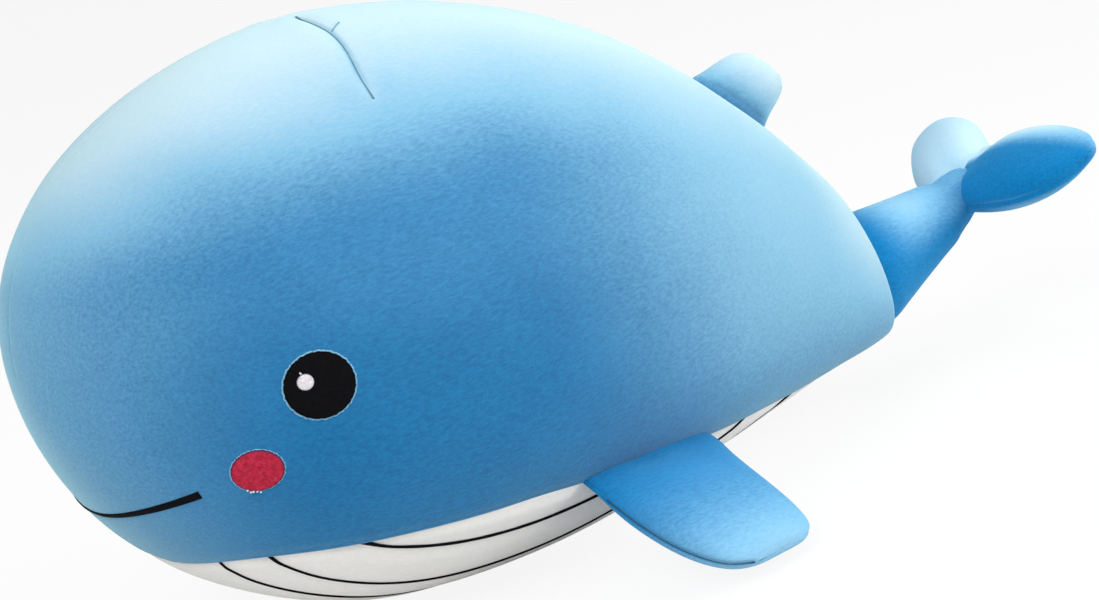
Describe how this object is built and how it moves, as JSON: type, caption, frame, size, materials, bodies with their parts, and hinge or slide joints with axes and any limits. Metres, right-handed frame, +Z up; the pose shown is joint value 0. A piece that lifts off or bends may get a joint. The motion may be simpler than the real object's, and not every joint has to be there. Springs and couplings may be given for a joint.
{
  "type": "plush whale",
  "caption": "Stuffed plush whale: egg-shaped body on its belly, with pectoral fins, a dorsal fin, a tail and flukes that bend at their seams.",
  "frame": {"origin": "middle of the small flat that the belly rests on", "axes": "+X towards the tail, so the snout faces -X; +Z up; the whale's left side is -Y"},
  "size_m": [0.5152, 0.3146, 0.2418],
  "materials": {
    "blue_pile": "short velvety pile, bright at grazing angles",
    "light_blue_pile": "short velvety pile",
    "white_pile": "smooth short pile",
    "filling_fibre": "loose white fibre",
    "black_thread": "satin stitch with a slight gloss",
    "white_thread": "satin stitch",
    "pink_thread": "satin stitch"
  },
  "bodies": {
    "body": {"body_panel_left": "blue_pile", "body_panel_right": "blue_pile", "belly_panel": "white_pile", "body_filling": "filling_fibre", "eye_left": "black_thread", "eye_right": "black_thread", "eye_highlight_left": "white_thread", "eye_highlight_right": "white_thread", "cheek_left": "pink_thread", "cheek_right": "pink_thread", "mouth_line": "black_thread", "belly_groove_left_1": "black_thread", "belly_groove_left_2": "black_thread", "belly_groove_left_3": "black_thread", "belly_groove_right_1": "black_thread", "belly_groove_right_2": "black_thread", "belly_groove_right_3": "black_thread"},
    "tail": {"tail_panel_left": "light_blue_pile", "tail_panel_right": "light_blue_pile", "tail_filling": "filling_fibre"},
    "dorsal_fin": {"dorsal_fin_left_panel": "blue_pile", "dorsal_fin_right_panel": "blue_pile", "dorsal_fin_filling": "filling_fibre"},
    "fin_left": {"fin_left_upper_panel": "light_blue_pile", "fin_left_lower_panel": "light_blue_pile", "fin_left_filling": "filling_fibre"},
    "fin_right": {"fin_right_upper_panel": "light_blue_pile", "fin_right_lower_panel": "light_blue_pile", "fin_right_filling": "filling_fibre"},
    "fluke_left": {"fluke_left_upper_panel": "light_blue_pile", "fluke_left_lower_panel": "light_blue_pile", "fluke_left_filling": "filling_fibre"},
    "fluke_right": {"fluke_right_upper_panel": "light_blue_pile", "fluke_right_lower_panel": "light_blue_pile", "fluke_right_filling": "filling_fibre"}
  },
  "joints": [
    {"name": "fin_left_flap", "type": "hinge", "parent": "body", "child": "fin_left", "pos_m": [0.0133, -0.09337, 0.03828], "axis": [-0.9699, -0.2255, 0.0922], "range_deg": [-45, 45], "stiffness_Nm_per_rad": 0.2},
    {"name": "fin_right_flap", "type": "hinge", "parent": "body", "child": "fin_right", "pos_m": [0.0133, 0.09337, 0.03828], "axis": [0.9699, -0.2255, -0.0922], "range_deg": [-45, 45], "stiffness_Nm_per_rad": 0.2},
    {"name": "dorsal_fin_flop", "type": "hinge", "parent": "body", "child": "dorsal_fin", "pos_m": [0.16031, 0, 0.17196], "axis": [0.7019, 0, -0.7122], "range_deg": [-40, 40], "stiffness_Nm_per_rad": 0.004},
    {"name": "tail_lift", "type": "hinge", "parent": "body", "child": "tail", "pos_m": [0.22712, 0, 0.05312], "axis": [0, -1, 0], "range_deg": [-20, 25], "stiffness_Nm_per_rad": 0.15},
    {"name": "fluke_left_flap", "type": "hinge", "parent": "tail", "child": "fluke_left", "pos_m": [0.28624, -0.00365, 0.06694], "axis": [-0.9135, 0, -0.4067], "range_deg": [-30, 30], "stiffness_Nm_per_rad": 0.02},
    {"name": "fluke_right_flap", "type": "hinge", "parent": "tail", "child": "fluke_right", "pos_m": [0.28624, 0.00365, 0.06694], "axis": [0.9135, 0, 0.4067], "range_deg": [-30, 30], "stiffness_Nm_per_rad": 0.02}
  ]
}
